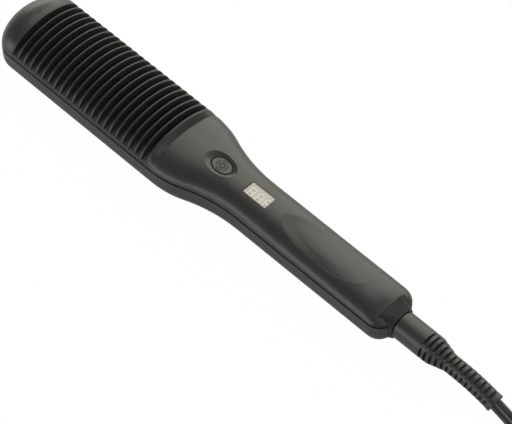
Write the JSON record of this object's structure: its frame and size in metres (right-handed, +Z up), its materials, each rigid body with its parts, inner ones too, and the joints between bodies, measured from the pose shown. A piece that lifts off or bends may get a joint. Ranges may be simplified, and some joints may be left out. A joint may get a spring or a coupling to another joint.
{
  "type": "heated hair straightener brush",
  "caption": "Hand-held heated straightening brush: a finned comb head, a tapering neck with a power button and a display, a slim grip with a thumb dish, and a swivel mains cord.",
  "frame": {"origin": "centre of the handset's bounding box, on the surface that it lies on", "axes": "+X from the tip of the head to the cord, +Y across the brush, +Z up, away from the flat back that it lies on"},
  "size_m": [0.4701, 0.0754, 0.0296],
  "materials": {
    "upper_shell": "fine satin",
    "lower_shell": "fine satin",
    "heating_plate": "dark ceramic coat on aluminium",
    "heater": "fired ceramic",
    "insulator": "mica sheet",
    "clamp": "mill",
    "sensor": "glass bead",
    "fuse": "drawn can",
    "screws": "zinc",
    "board": "solder mask",
    "board_parts": "moulded epoxy",
    "capacitor": "sleeve",
    "switch": "moulded",
    "button": "satin gloss",
    "display_lens": "smoked clear window",
    "display_module": "moulded",
    "swivel_socket": "satin",
    "swivel_shaft": "moulded",
    "contacts": "bright",
    "contact_holder": "moulded",
    "strain_relief": "satin",
    "cord": "smooth sheath",
    "tie": "strap",
    "plug": "moulded",
    "pins": "nickel plate"
  },
  "bodies": {
    "handset": {"upper_housing": "upper_shell", "lower_housing": "lower_shell", "heating_plate": "heating_plate", "ceramic_heater": "heater", "mica_insulator": "insulator", "heater_clamp": "clamp", "plate_thermistor": "sensor", "thermal_fuse": "fuse", "clamp_screws": "screws", "shell_screws": "screws", "board_screws": "screws", "control_board": "board", "board_parts": "board_parts", "mains_capacitor": "capacitor", "tact_switch": "switch", "display_lens": "display_lens", "display_module": "display_module", "swivel_socket": "swivel_socket", "ring_contacts": "contacts", "contact_holder": "contact_holder"},
    "button": {"power_button": "button", "switch_plunger": "switch"},
    "swivel_cord": {"swivel_shaft": "swivel_shaft", "slip_rings": "contacts", "strain_relief": "strain_relief", "mains_cord": "cord", "cord_coil": "cord", "cord_tie": "tie", "cord_tail": "cord", "plug_body": "plug", "plug_pins": "pins"}
  },
  "joints": [
    {"name": "button_press", "type": "slide", "parent": "handset", "child": "button", "axis": [0, 0, -1], "range_m": [0, 0.0005], "stiffness_N_per_m": 2000, "springref_m": -0.0002},
    {"name": "cord_swivel", "type": "hinge", "parent": "handset", "child": "swivel_cord", "pos_m": [0.10055, 0, 0.011], "axis": [1, 0, 0], "continuous": true}
  ]
}
